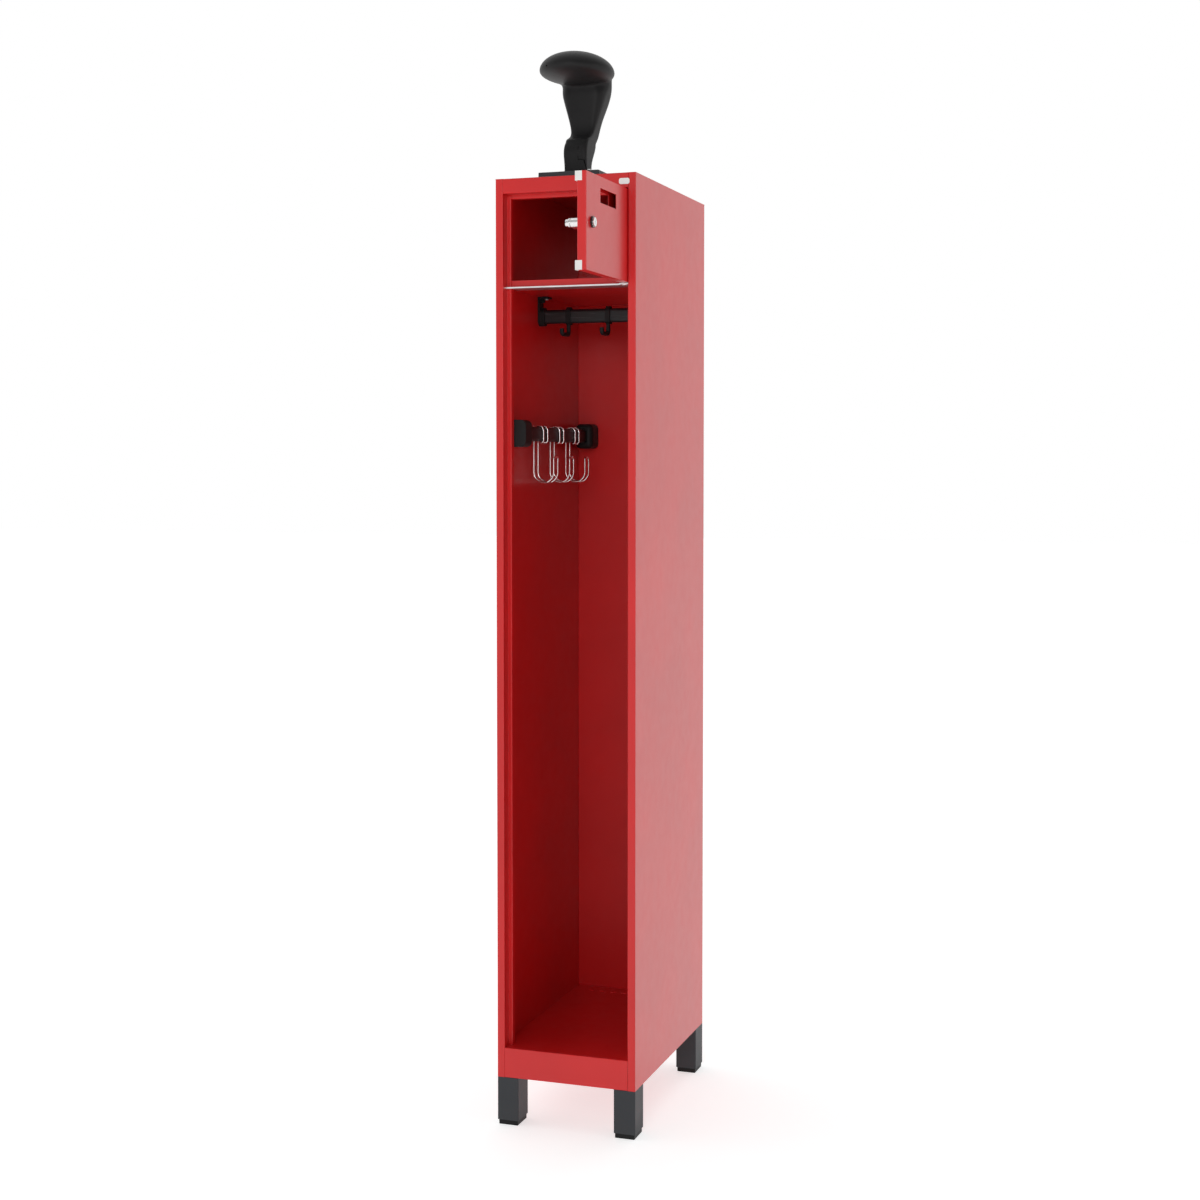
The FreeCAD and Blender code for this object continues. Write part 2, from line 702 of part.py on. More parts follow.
# The lock's pieces follow each other inwards from its face, as distances from the middle of the door's thickness.
ring_proud = size("ring_proud", 4.5, "lock's ring above the door's face")
housing_end = size("housing_end", 32, "inner end of the lock housing, from the middle of the door")
plug_face = size("plug_face", 2, "thickness of the plug's face")
plug_air = size("plug_air", 0.3, "between the plug's face and the housing")
ring_front = -half_thick - ring_proud
cam_low = housing_end + 1.3


def lock_pieces():
    ring = new_body("lock_ring")
    extrude(ring, "XZ", [(lock_x, lock_z, lock_radius + 2), (lock_x, lock_z, lock_radius + gap)],
            ring_front, -half_thick)
    housing = new_body("lock_housing")
    extrude(housing, "XZ", [(lock_x, lock_z, lock_radius), (lock_x, lock_z, plug_radius + running)],
            ring_front, housing_end)
    nut = new_body("lock_nut")
    nut_half = lock_radius + 3.5
    extrude(nut, "XZ", [rectangle(lock_x - nut_half, lock_x + nut_half, lock_z - nut_half, lock_z + nut_half, 4),
                        (lock_x, lock_z, lock_radius + gap / 4)], half_thick - steel, half_thick + 3)
    plug = new_body("lock_plug")
    extrude(plug, "XZ", [(lock_x, lock_z, plug_radius)], ring_front - plug_air - plug_face, cam_low)
    extrude(plug, "XZ", [(lock_x, lock_z, lock_radius - 0.5)], ring_front - plug_air - plug_face, ring_front - plug_air)
    extrude(plug, "XZ", [(lock_x, lock_z, plug_radius - 1)], cam_low, cam_low + cam_thick)
    keyway = rectangle(lock_x - 0.8, lock_x + 0.8, lock_z - 3.5, lock_z + 3.5)
    cut(plug, "XZ", [keyway], ring_front - plug_air - plug_face, ring_front)
    cam = new_body("lock_cam")
    arm_half = lock_radius - 1
    extrude(cam, "XZ", [(lock_x, lock_z, lock_radius)], cam_low, cam_low + cam_thick)
    extrude(cam, "XZ", [rectangle(lock_x, lock_x + cam_reach, lock_z - arm_half, lock_z + arm_half, 3)],
            cam_low, cam_low + cam_thick)
    cut(cam, "XZ", [(lock_x, lock_z, plug_radius - 1 + gap / 4)], cam_low - 1, cam_low + cam_thick + 1)
    nose = new_body("lock_cam_screw")
    nose_low, nose_tall, slot_half = cam_low + cam_thick, 6.5, 0.6
    extrude(nose, "XZ", [(lock_x, lock_z, plug_radius + 1)], nose_low, nose_low + nose_tall)
    round_edges(nose, 1, edges_at("Y", nose_low + nose_tall))
    cut(nose, "XZ", [rectangle(lock_x - lock_radius, lock_x + lock_radius, lock_z - slot_half, lock_z + slot_half)],
        nose_low + nose_tall - 2, nose_low + nose_tall + 1)
    for body in (ring, housing, nut, plug, cam, nose):
        on_door(body)


# ---------------------------------------------------------------- coat rail

coat_rail_y = front + depth / 2
coat_rail_z = shelf_under + sill_thick - coat_rail_drop
coat_foot_reach = size("coat_foot_reach", 24, "bracket's foot, along the rail")
coat_foot_thick = size("coat_foot_thick", 4, "bracket's foot")
coat_screw_radius = size("coat_screw_radius", 2, "bracket's screw")
bracket_half = size("bracket_half", 13, "half the coat rail bracket's depth")
bracket_inner = width / 2 - steel - gap
coat_foot_x = bracket_inner - coat_foot_reach + 8


def oval(across, up, half_wide, half_tall):
    """A flat oval: straight sides with nearly full rounds."""
    return rectangle(across - half_wide, across + half_wide, up - half_tall, up + half_tall, half_wide - 0.3)


def coat_oval(across, up, grown):
    """The coat rail's outline, made larger all round."""
    return oval(across, up, coat_rail_wide / 2 + grown, coat_rail_tall / 2 + grown)


def coat_rail():
    body = new_body("coat_rail_tube")
    end = bracket_inner - coat_foot_thick - gap
    middle = coat_rail_y, coat_rail_z
    extrude(body, "YZ", [coat_oval(*middle, 0), coat_oval(*middle, -1.2)], -end, end)
    return body


def coat_rail_bracket(label, side):
    """A plate on the side wall with a cup for the rail and a gusseted foot under the compartment."""
    body = new_body(label)
    half = bracket_half
    outer = side * bracket_inner

    def span(reach):
        """From the wall inwards, low value first."""
        ends = (outer, outer - side * reach)
        return ends if side < 0 else ends[::-1]

    top = sill_top - gap
    extrude(body, "YZ", [rectangle(coat_rail_y - half, coat_rail_y + half, coat_rail_z, top)], *span(coat_foot_thick))
    extrude(body, "YZ", [coat_oval(coat_rail_y, coat_rail_z, coat_cup_wall)], *span(coat_cup_deep))
    foot = rectangle(*span(coat_foot_reach), coat_rail_y - half, coat_rail_y + half, 3)
    extrude(body, "XY", [foot], top - coat_foot_thick, top)
    rib = rectangle(*span(coat_foot_reach / 2), top - 3 * coat_foot_thick, top)
    extrude(body, "XZ", [rib], coat_rail_y - 2, coat_rail_y + 2)
    seat = span(coat_cup_deep + 1)[1 if side < 0 else 0], outer - side * coat_foot_thick
    low, high = sorted(seat, key=lambda value: value.value)
    cut(body, "YZ", [coat_oval(coat_rail_y, coat_rail_z, gap)], low, high)
    cut(body, "XY", [(side * coat_foot_x, coat_rail_y, coat_screw_radius + gap)],
        top - 2 * coat_foot_thick, top + 1)
    return body


def coat_rail_screws():
    members = []
    for side in (-1, 1):
        seat = (side * coat_foot_x, coat_rail_y, sill_top - gap - coat_foot_thick)
        members.append(screw("coat_screw", seat, -AXIS_Z, 4, 2.4, coat_screw_radius, 8))
    group("coat_rail_screws", members)


def coat_hook(label, along):
    """A moulded hook in its own frame, whose x axis is the rail's axis: a clip on the rail and a curl below it."""
    body = new_body(label)
    half = coat_hook_wide / 2
    outer = coat_rail_tall / 2 + coat_rail_air + coat_hook_thick
    clip = [coat_oval(0, 0, coat_rail_air + coat_hook_thick), coat_oval(0, 0, coat_rail_air)]
    extrude(body, "YZ", clip, -half, half)
    tab = rectangle(-3, 3, outer - 1, outer + 1, 0.8)
    extrude(body, "YZ", [tab], -half, half)
    thick = 8
    shank_y, tip_y = -thick / 2, -coat_hook_reach + thick / 2
    root, low = -outer + 1, -coat_hook_drop + thick / 2
    spine = new_sketch(body, "YZ", 0)
    draw_path(spine, [(shank_y, root), (shank_y, low, 9), (tip_y, low, 8), (tip_y, low + 12)], closed=False)
    profile = new_sketch(body, "XY", root)
    draw(profile, rectangle(-half + 1, half - 1, shank_y - thick / 2, shank_y + thick / 2, 2.5))
    pipe = body.newObject("PartDesign::AdditivePipe", "Curl")
    pipe.Profile = profile
    pipe.Spine = spine
    place(body, along, coat_rail_y, coat_rail_z)
    return body


# ---------------------------------------------------------------- hook rail

hook_rail_x = left + hook_rail_inset
hook_rail_z = sill_top - hook_rail_drop
socket_deep = size("socket_deep", 30, "how far the tube stands in its end cap")
cap_low, cap_high = post_back + gap, back_inner - gap


def hook_rail():
    body = new_body("hook_rail_tube")
    wall = 1.2
    half_wide, half_tall = hook_rail_wide / 2, hook_rail_tall / 2
    outlines = [oval(hook_rail_x, hook_rail_z, half_wide, half_tall),
                oval(hook_rail_x, hook_rail_z, half_wide - wall, half_tall - wall)]
    reach = cap_deep - socket_deep
    extrude(body, "XZ", outlines, cap_low + reach, cap_high - reach)
    return body


def hook_rail_cap(label, low, opens_back):
    """A rounded end cap, whose socket opens towards the tube. The front one is screwed to the post beside the tube."""
    body = new_body(label)
    high = low + cap_deep
    half_wide, half_tall = cap_wide / 2, cap_tall / 2
    outline = rectangle(hook_rail_x - half_wide, hook_rail_x + half_wide,
                        hook_rail_z - half_tall, hook_rail_z + half_tall, cap_round + 1)
    extrude(body, "XZ", [outline], low, high)
    round_edges(body, cap_round, edges_at("Y", high if opens_back else low))
    socket = [oval(hook_rail_x, hook_rail_z, hook_rail_wide / 2 + gap, hook_rail_tall / 2 + gap)]
    if opens_back:
        screw_x = hook_rail_x - hook_screw_aside
        cut(body, "XZ", socket, high - socket_deep, high + 1)
        cut(body, "XZ", [(screw_x, hook_rail_z, hook_head_radius + gap)], high - socket_deep, high + 1)
    else:
        screw_x = hook_rail_x
        cut(body, "XZ", socket, low - 1, low + socket_deep)
    cut(body, "XZ", [(screw_x, hook_rail_z, hook_screw_radius + gap)], low - 1, high + 1)
    return body


def hook_rail_screws():
    floor_thick = cap_deep - socket_deep
    length = floor_thick + 6
    front_seat = (hook_rail_x - hook_screw_aside, cap_low + floor_thick, hook_rail_z)
    back_seat = (hook_rail_x, cap_high - floor_thick, hook_rail_z)
    group("hook_rail_screws", [
        screw("hook_screw", front_seat, AXIS_Y, hook_head_radius, 2.4, hook_screw_radius, length),
        screw("hook_screw", back_seat, -AXIS_Y, hook_head_radius, 2.4, hook_screw_radius, length),
    ])


def bent_wire(points):
    """A closed run of wire through points (x, y, z, bend radius); it starts at the first, which has no bend."""
    places = [VECTOR(*point[:3]) for point in points]
    count = len(points)
    turns = []
    for index, middle in enumerate(places):
        radius = points[index][3]
        if radius == 0:
            turns.append((middle, None, middle))
            continue
        back_way = (places[index - 1] - middle).normalize()
        on_way = (places[(index + 1) % count] - middle).normalize()
        half = back_way.getAngle(on_way) / 2
        reach = radius / math.tan(half)
        inward = (back_way + on_way).normalize()
        crest = middle + inward * (radius / math.sin(half) - radius)
        turns.append((middle + back_way * reach, crest, middle + on_way * reach))
    edges = []
    for index, (start, crest, end) in enumerate(turns):
        if crest is not None:
            edges.append(Part.Arc(start, crest, end).toShape())
        edges.append(Part.LineSegment(end, turns[(index + 1) % count][0]).toShape())
    return Part.Wire(edges)


def wire_hook(label, along):
    """A double hook of one closed wire: round the tube, down to the bend and up to the tip, and back beside it."""
    side = (hook_rail_wide / 2 + wire_air + wire_radius).value
    over = (hook_rail_tall / 2 + 2 * gap + wire_radius).value
    under = (hook_rail_tall / 2 + wire_air / 2 + wire_radius).value
    tip_x = (hook_throat - side).value
    low, tip = -hook_drop.value, -hook_tip_drop.value
    shift = wire_pair.value / 2
    wrap, throat, small = side - 0.5, hook_throat.value / 2 - 0.5, 5
    down = [(-side, low, throat), (tip_x, low, throat), (tip_x, tip, small)]
    up = [(-side, over, wrap), (side, over, wrap), (side, -under, side - small), (small, -under, small - 1)]
    points = [(-side, -shift, (low + over) / 2, 0)]
    points += [(x, -shift, z, radius) for x, z, radius in down]
    points += [(x, shift, z, radius) for x, z, radius in reversed(down)]
    points += [(x, shift, z, radius) for x, z, radius in up]
    points += [(x, -shift, z, radius) for x, z, radius in reversed(up)]
    spine = bent_wire(points)
    section = Part.Wire([Part.Circle(VECTOR(*points[0][:3]), AXIS_Z, wire_radius.value).toShape()])
    hook = doc.addObject("Part::Feature", label)
    hook.Shape = spine.makePipeShell([section], True, False)
    hook.Label = label
    place(hook, hook_rail_x, along, hook_rail_z)
    nodes.append(hook)


# ---------------------------------------------------------------- helmet rest

rest_front = front + rest_plate_setback
rest_foot_y = rest_front + rest_foot_setback
rest_plate_top = carcass_top + rest_plate_tall
head_z = carcass_top + head_level
rest_screw_radius = size("rest_screw_radius", 2.5, "foot's screws")
neck_joint = size("neck_joint", 66, "top of the foot above the plate")


def rest_plate():
    """A shallow steel tray, turned upside down on the roof."""
    body = new_body("rest_plate")
    half = rest_plate_wide / 2
    outline = rectangle(-half, half, rest_front, rest_front + rest_plate_wide, 3)
    inner_half = half - rest_plate_steel
    inner = rectangle(-inner_half, inner_half, rest_front + rest_plate_steel,
                      rest_front + rest_plate_wide - rest_plate_steel, 3 - rest_plate_steel)
    extrude(body, "XY", [outline], carcass_top, rest_plate_top)
    round_edges(body, rest_plate_steel / 2, edges_at("Z", rest_plate_top))
    cut(body, "XY", [inner], carcass_top, rest_plate_top - rest_plate_steel)
    holes = [(x, y, rest_screw_radius + gap) for x, y in rest_screw_places()]
    cut(body, "XY", holes, rest_plate_top - 2 * rest_plate_steel, rest_plate_top + 1)
    return body


def rest_screw_places():
    across, along = rest_flange_wide / 2 - 11, rest_flange_deep / 2 - 11
    return [(x * across, rest_foot_y + y * along) for x in (-1, 1) for y in (-1, 1)]


def neck_section(above_plate, behind_foot, half_wide, half_deep, corner):
    """One rounded section of the neck, by its height above the plate and its middle behind the foot's."""
    middle = rest_foot_y + behind_foot
    outline = rectangle(-half_wide, half_wide, middle - half_deep, middle + half_deep, corner)
    return rest_plate_top + above_plate, outline


def rest_foot():
    """The moulded foot: a flange on the plate and a socket that the neck stands in."""
    body = new_body("rest_foot")
    flange = rectangle(-rest_flange_wide / 2, rest_flange_wide / 2, rest_foot_y - rest_flange_deep / 2,
                       rest_foot_y + rest_flange_deep / 2, 20)
    extrude(body, "XY", [flange], rest_plate_top, rest_plate_top + rest_flange_tall)
    round_edges(body, rest_flange_tall - 1, edges_at("Z", rest_plate_top + rest_flange_tall))
    loft(body, [
        neck_section(rest_flange_tall / 2, 0, 24.5, 20, 4),
        neck_section(28, -1, 24.5, 21, 4),
        neck_section(43, 3, 25, 27, 5),
        neck_section(neck_joint, 15, 24.5, 29, 5.5),
    ])
    holes = [(x, y, rest_screw_radius + gap) for x, y in rest_screw_places()]
    cut(body, "XY", holes, rest_plate_top - 1, rest_plate_top + rest_flange_tall + 1)
    return body


def rest_neck():
    """The neck, which leans back and widens, with the underside of the head in one moulding."""
    body = doc.addObject("PartDesign::Body", "neck_stem")
    joint = neck_joint + gap
    loft(body, [
        neck_section(joint, 15.5, 23.5, 28, 5.5),
        neck_section(81, 34, 24, 25, 6),
        neck_section(98, 44, 26.5, 22, 7),
        neck_section(118, 46.5, 32, 24, 10),
        neck_section(136, 49, 37.5, 28, 14),
        neck_section(154, 51.5, 43, 32, 18),
        neck_section(176, 53.5, 49, 36, 26),
        neck_section(head_level - rest_plate_tall - 3, 50.5, 53, 39, 37),
    ])
    bowl = doc.addObject("Part::Ellipsoid", "head_bowl")
    bind(bowl, "Radius1", head_under)
    bind(bowl, "Radius2", head_wide / 2)
    bind(bowl, "Radius3", head_long / 2)
    bowl.Angle2 = 0
    place(bowl, 0, rest_foot_y - 6.5, head_z)
    neck = doc.addObject("Part::Fuse", "rest_neck")
    neck.Base, neck.Tool = body, bowl
    neck.Label = "rest_neck"
    nodes.append(neck)


def rest_head():
    """The hollow cap of the head, which the helmet lies on."""
    shells = []
    for inset in (Size(0), head_wall):
        shell = doc.addObject("Part::Ellipsoid", "head_shell")
        bind(shell, "Radius1", head_rise - inset)
        bind(shell, "Radius2", head_wide / 2 - inset)
        bind(shell, "Radius3", head_long / 2 - inset)
        shell.Angle1 = 0
        place(shell, 0, rest_foot_y - 6.5, head_z + gap)
        shells.append(shell)
    head = doc.addObject("Part::Cut", "rest_head")
    head.Base, head.Tool = shells
    head.Label = "rest_head"
    nodes.append(head)


def rest_screws():
    members = []
    for x, y in rest_screw_places():
        seat = (x, y, rest_plate_top + rest_flange_tall)
        members.append(screw("rest_screw", seat, AXIS_Z, 4.5, 2.5, rest_screw_radius, rest_flange_tall + 6))
    group("rest_screws", members)


# ---------------------------------------------------------------- assembly

side_panel("side_panel_left", -1)
side_panel("side_panel_right", 1)
roof_panel()
floor_panel()
back_panel()
compartment_shelf()
door_sill()
badge_plate()
for side, side_name in ((-1, "left"), (1, "right")):
    for end, end_name in ((-1, "front"), (1, "back")):
        leg(f"leg_{end_name}_{side_name}", side, end)
        glide(f"glide_{end_name}_{side_name}", side, end)
leg_bolts()

door_skin()
door_liner()
door_buffer("door_buffer_top", door_top - buffer_tall)
door_buffer("door_buffer_bottom", door_low)
hinge_boss("hinge_boss_top", door_top - steel - gap - buffer_tall)
hinge_boss("hinge_boss_bottom", door_low + steel + gap)
hinge_pin("hinge_pin_top", door_top - steel - buffer_tall, buffer_tall + door_head_gap + 6)
hinge_pin("hinge_pin_bottom", shelf_under - 1, buffer_tall + sill_thick + door_foot_gap + 2)
hinge_bush("hinge_bush_top", opening_top - steel / 2, opening_top + 5, opening_top - bend, opening_top)
hinge_bush("hinge_bush_bottom", shelf_under - 1, sill_top + steel / 2, sill_top, sill_top + bend - gap * 1.5)
lock_pieces()

coat_rail()
coat_rail_bracket("coat_rail_bracket_left", -1)
coat_rail_bracket("coat_rail_bracket_right", 1)
coat_rail_screws()
coat_span = 2 * (bracket_inner - coat_cup_deep)
for number in range(3):
    coat_hook(f"coat_hook_{number + 1}", coat_span * (0.2 + number / 3 - 0.5))

hook_rail()
hook_rail_cap("hook_rail_cap_front", cap_low, True)
hook_rail_cap("hook_rail_cap_back", cap_high - cap_deep, False)
hook_rail_screws()
rail_span = cap_high - cap_low - 2 * cap_deep
for number in range(3):
    wire_hook(f"wire_hook_{number + 1}", cap_low + cap_deep + rail_span * (0.263 + 0.2703 * number))

rest_plate()
rest_foot()
rest_neck()
rest_head()
rest_screws()

doc.recompute()
for item in doc.Objects:
    if {"Invalid", "Error"} & set(item.State):
        raise RuntimeError(f"{item.Label} did not build: {item.State}")
for node in nodes:
    if node.Shape.isNull() or not node.Shape.isValid() or not node.Shape.Solids:
        raise RuntimeError(f"{node.Label} has no valid solid")

os.makedirs("parts", exist_ok=True)
for node in nodes:
    node.Shape.exportStep(f"parts/{node.Label}.step")
    print(f"{node.Label}: {len(node.Shape.Solids)} solid(s), {node.Shape.Volume:.0f} mm3")
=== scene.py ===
# %% [markdown]
# # An open cloakroom locker with a helmet rest
#
# The locker comes in as a imported CAD model, whose pieces keep their places. This script gives the pieces their
# finishes, softens the edges that a real press, mould or wire bender leaves round, adds the small details that the
# CAD model does without, and lights it all for a studio picture.
#
# The first cell loads the model.

# %% Load the frame
import json
import math

import bpy
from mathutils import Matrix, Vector

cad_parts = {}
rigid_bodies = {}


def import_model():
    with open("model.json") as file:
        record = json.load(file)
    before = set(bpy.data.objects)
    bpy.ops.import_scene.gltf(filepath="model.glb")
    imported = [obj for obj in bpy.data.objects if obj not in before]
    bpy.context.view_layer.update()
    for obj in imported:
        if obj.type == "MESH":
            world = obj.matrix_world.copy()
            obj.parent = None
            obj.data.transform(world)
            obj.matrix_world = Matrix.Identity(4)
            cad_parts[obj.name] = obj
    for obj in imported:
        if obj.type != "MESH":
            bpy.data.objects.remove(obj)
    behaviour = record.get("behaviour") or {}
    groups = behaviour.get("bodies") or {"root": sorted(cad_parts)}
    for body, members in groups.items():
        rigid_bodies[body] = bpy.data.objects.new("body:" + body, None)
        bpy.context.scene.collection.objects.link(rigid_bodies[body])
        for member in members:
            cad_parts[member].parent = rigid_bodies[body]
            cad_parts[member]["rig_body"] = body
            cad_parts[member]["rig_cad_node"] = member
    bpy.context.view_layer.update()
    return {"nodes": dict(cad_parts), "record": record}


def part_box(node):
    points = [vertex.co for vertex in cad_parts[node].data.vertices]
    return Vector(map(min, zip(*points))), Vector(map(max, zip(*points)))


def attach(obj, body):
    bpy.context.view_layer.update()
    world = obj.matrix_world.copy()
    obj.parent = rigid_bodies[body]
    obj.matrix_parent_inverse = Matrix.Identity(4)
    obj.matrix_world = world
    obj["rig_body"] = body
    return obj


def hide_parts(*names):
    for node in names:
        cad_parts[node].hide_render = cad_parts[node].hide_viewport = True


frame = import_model()
nodes = frame["nodes"]
body_of = {node: body for body, members in frame["record"]["behaviour"]["bodies"].items() for node in members}
slot_of = {entry["node"]: entry["material_slot"] for entry in frame["record"]["subparts"]}
MM = 0.001

# %% [markdown]
# ## Writing a finish as a sum
#
# A finish is a small graph of shader nodes. Wiring it by hand takes many lines, so one class wraps a socket and lets
# Python's own operators add the Math nodes, and one method adds any other node.

# %% A socket that can be added and multiplied
class Signal:
    """A shader socket. Arithmetic on it adds Math nodes to its finish."""

    def __init__(self, finish, socket):
        self.finish = finish
        self.socket = socket

    def math(self, operation, first, second):
        return self.finish.node("ShaderNodeMath", {"operation": operation}, {0: first, 1: second})

    def __add__(self, other):
        return self.math("ADD", self, other)

    def __radd__(self, other):
        return self.math("ADD", other, self)

    def __sub__(self, other):
        return self.math("SUBTRACT", self, other)

    def __rsub__(self, other):
        return self.math("SUBTRACT", other, self)

    def __mul__(self, other):
        return self.math("MULTIPLY", self, other)

    def __rmul__(self, other):
        return self.math("MULTIPLY", other, self)

    def between(self, low, high):
        """0 below low, 1 above high, and a straight ramp from one to the other."""
        settings = {"interpolation_type": "LINEAR", "clamp": True}
        return self.finish.node("ShaderNodeMapRange", settings, {"Value": self, "From Min": low, "From Max": high})


print("Signal is ready")


# %% A finish and its nodes
class Finish:
    """One material: a Principled shader, and the methods that draw its patterns."""

    def __init__(self, name, base, roughness, metallic=0.0, coat=0.0, specular=0.5):
        self.material = bpy.data.materials.new(name)
        self.material.use_nodes = True
        self.tree = self.material.node_tree
        self.shader = self.tree.nodes["Principled BSDF"]
        self.base = (*base, 1.0)
        self.set("Base Color", self.base)
        self.set("Roughness", roughness)
        self.set("Metallic", metallic)
        self.set("Coat Weight", coat)
        self.set("Specular IOR Level", specular)
        self.place = self.node("ShaderNodeTexCoord", {}, {}, "Object")

    def set(self, name, value):
        """Gives an input of the shader a number, a colour or a signal."""
        self.feed(self.shader.inputs[name], value)

    def feed(self, socket, value):
        if isinstance(value, Signal):
            self.tree.links.new(value.socket, socket)
        else:
            socket.default_value = value

    def node(self, kind, settings, inputs, output=0):
        """Adds a node: its settings come first, then the values or links of its inputs."""
        added = self.tree.nodes.new(kind)
        for name, value in settings.items():
            setattr(added, name, value)
        for name, value in inputs.items():
            self.feed(added.inputs[name], value)
        return Signal(self, added.outputs[output])

    def stretched(self, x=1.0, y=1.0, z=1.0):
        """The piece's coordinates, squeezed along each axis: a large number makes a fine pattern along that axis."""
        return self.node("ShaderNodeMapping", {}, {"Vector": self.place, "Scale": (x, y, z)})

    def noise(self, scale, detail=2.0, place=None):
        inputs = {"Vector": place or self.place, "Scale": scale, "Detail": detail}
        return self.node("ShaderNodeTexNoise", {}, inputs, "Fac")

    def cells(self, scale):
        """The distance to the nearest of many scattered points."""
        return self.node("ShaderNodeTexVoronoi", {}, {"Vector": self.place, "Scale": scale}, "Distance")

    def height(self, axis):
        """The coordinate along one axis, in metres."""
        return self.node("ShaderNodeSeparateXYZ", {}, {"Vector": self.place}, axis)

    def mixed(self, share, first, second):
        """A colour that goes from first to second as share goes from 0 to 1."""
        return self.node("ShaderNodeMix", {"data_type": "RGBA"}, {0: share, 6: first, 7: second}, 2)

    def bump(self, height, distance, strength=1.0):
        """Raises the surface by a pattern; distance is in metres."""
        relief = self.node("ShaderNodeBump", {}, {"Height": height, "Distance": distance, "Strength": strength})
        self.set("Normal", relief)


def tinted(colour, share):
    """A colour made lighter (share above 1) or darker."""
    return (*[min(channel * share, 1.0) for channel in colour[:3]], 1.0)


print("Finish and tinted are ready")


# %% [markdown]
# ## Red powder coat
#
# The carcass and the door are sheet steel with baked powder coat: an even, strong red under a slightly wavy skin,
# known as orange peel, whose waves are one to two millimetres across and a few micrometres high. A fine noise in the
# bump gives that skin, and a much larger, weak one keeps the big panels from looking like flat paint. Powder coat
# polishes where hands and bags rub, so the gloss wanders too. A clear coat over the red stands for the resin that
# floats to the top as the powder bakes: it hardly shows from straight ahead, and pales the sides at a low angle.

# %% Red powder coat
def red_powder_coat():
    base = (0.60, 0.0085, 0.0095)
    finish = Finish("red powder coat", base, 0.36, coat=0.58, specular=0.2)
    finish.set("Coat Roughness", 0.26)
    drift = finish.noise(5.0, 3.0)
    patches = finish.noise(38.0, 4.0)
    finish.set("Base Color", finish.mixed(drift.between(0.3, 0.7), tinted(base, 0.93), tinted(base, 1.06)))
    finish.set("Roughness", 0.30 + patches * 0.10 + drift * 0.06)
    peel = finish.noise(620.0, 1.0)
    swell = finish.noise(110.0, 1.0)
    finish.bump(peel * 0.35 + swell * 0.65, 0.00004)
    return finish.material


print("red powder coat: a clear coat over red, with orange peel")


# %% [markdown]
# ## Anthracite powder coat
#
# Legs and the helmet rest's plate have a dark grey coat with a fine, dry texture. Its grains are about half a
# millimetre wide. Scattered lighter grains catch the light, and the foot of each leg is a little dulled by mopping.

# %% Anthracite powder coat
def anthracite_coat():
    base = (0.022, 0.025, 0.030)
    finish = Finish("anthracite powder coat", base, 0.5, specular=0.42)
    grain = finish.noise(1500.0, 2.0)
    drift = finish.noise(16.0, 3.0)
    dulled = finish.height("Z").between(0.05, 0.0)
    speckled = finish.mixed(grain.between(0.45, 0.75), tinted(base, 0.9), tinted(base, 1.25))
    finish.set("Base Color", finish.mixed(dulled * 0.25 * drift, speckled, (0.09, 0.088, 0.085, 1.0)))
    finish.set("Roughness", 0.40 + drift * 0.16 + dulled * 0.12)
    finish.bump(grain, 0.00005)
    return finish.material


print("anthracite powder coat: grains of about half a millimetre")


# %% [markdown]
# ## Moulded plastics
#
# The helmet rest, the glides, the hooks on the coat rail and the end fittings are black mouldings. A spark-eroded
# mould leaves a fine grain on them, and handled places turn slightly shiny. The same recipe makes the white mouldings,
# with a weaker grain.

# %% Moulded plastics
def moulded_plastic(name, base, roughness, grain_height, specular=0.5):
    finish = Finish(name, base, roughness, specular=specular)
    grain = finish.noise(1100.0, 3.0)
    pits = finish.cells(850.0)
    drift = finish.noise(14.0, 3.0)
    finish.set("Base Color", finish.mixed(drift.between(0.3, 0.7), tinted(base, 0.85), tinted(base, 1.15)))
    finish.set("Roughness", roughness - 0.08 + drift * 0.12 + grain * 0.06)
    finish.bump(grain * 0.6 + pits * 0.4, grain_height)
    return finish.material


print("moulded plastics: one recipe for black and white")


# %% [markdown]
# ## Bright metals
#
# Three bright metals differ in how they were finished. The strip under the door is zinc plate with the fine lines of
# the rolling mill along its length. The wire of the hooks was polished before it was plated, so it is nearly a
# mirror, with faint drawing lines. The lock is a die casting under nickel, with a soft, pebbly shine. Each one is the
# same recipe with other numbers.

# %% Bright metals
def bright_metal(name, base, roughness, stretch, line_height, pebble=0.0):
    finish = Finish(name, base, roughness, metallic=1.0)
    lines = finish.noise(900.0, 2.0, finish.stretched(*stretch))
    tarnish = finish.noise(60.0, 4.0)
    pebbles = finish.noise(420.0, 2.0)
    finish.set("Base Color", finish.mixed(tarnish.between(0.35, 0.75), base + (1.0,), tinted(base, 0.84)))
    finish.set("Roughness", roughness - 0.05 + lines * 0.08 + tarnish * 0.07)
    finish.bump(lines * (1.0 - pebble) + pebbles * pebble, line_height)
    return finish.material


print("bright metals: one recipe for rolled, drawn, cast and plated metal")


# %% [markdown]
# ## Coated tube, glossy ring and blank badge
#
# Both rails are steel tube with a thin satin black coat. Scuffs run along the tube's length, where the coat is
# a touch lighter and shinier. The ring round the lock is glossy plastic, and the badge is stove enamel.

# %% Coated tube
def black_tube_coat():
    base = (0.012, 0.012, 0.013)
    finish = Finish("satin black tube", base, 0.4, specular=0.35)
    drift = finish.noise(30.0, 4.0)
    scuffs = finish.noise(300.0, 3.0, finish.stretched(0.06, 0.06, 1.0))
    worn = scuffs.between(0.58, 0.72)
    finish.set("Base Color", finish.mixed(worn * 0.5, base + (1.0,), (0.075, 0.075, 0.08, 1.0)))
    finish.set("Roughness", 0.36 + drift * 0.14 - worn * 0.06)
    finish.bump(finish.noise(1300.0, 2.0), 0.00003)
    return finish.material


print("satin black tube: scuffed along its length")


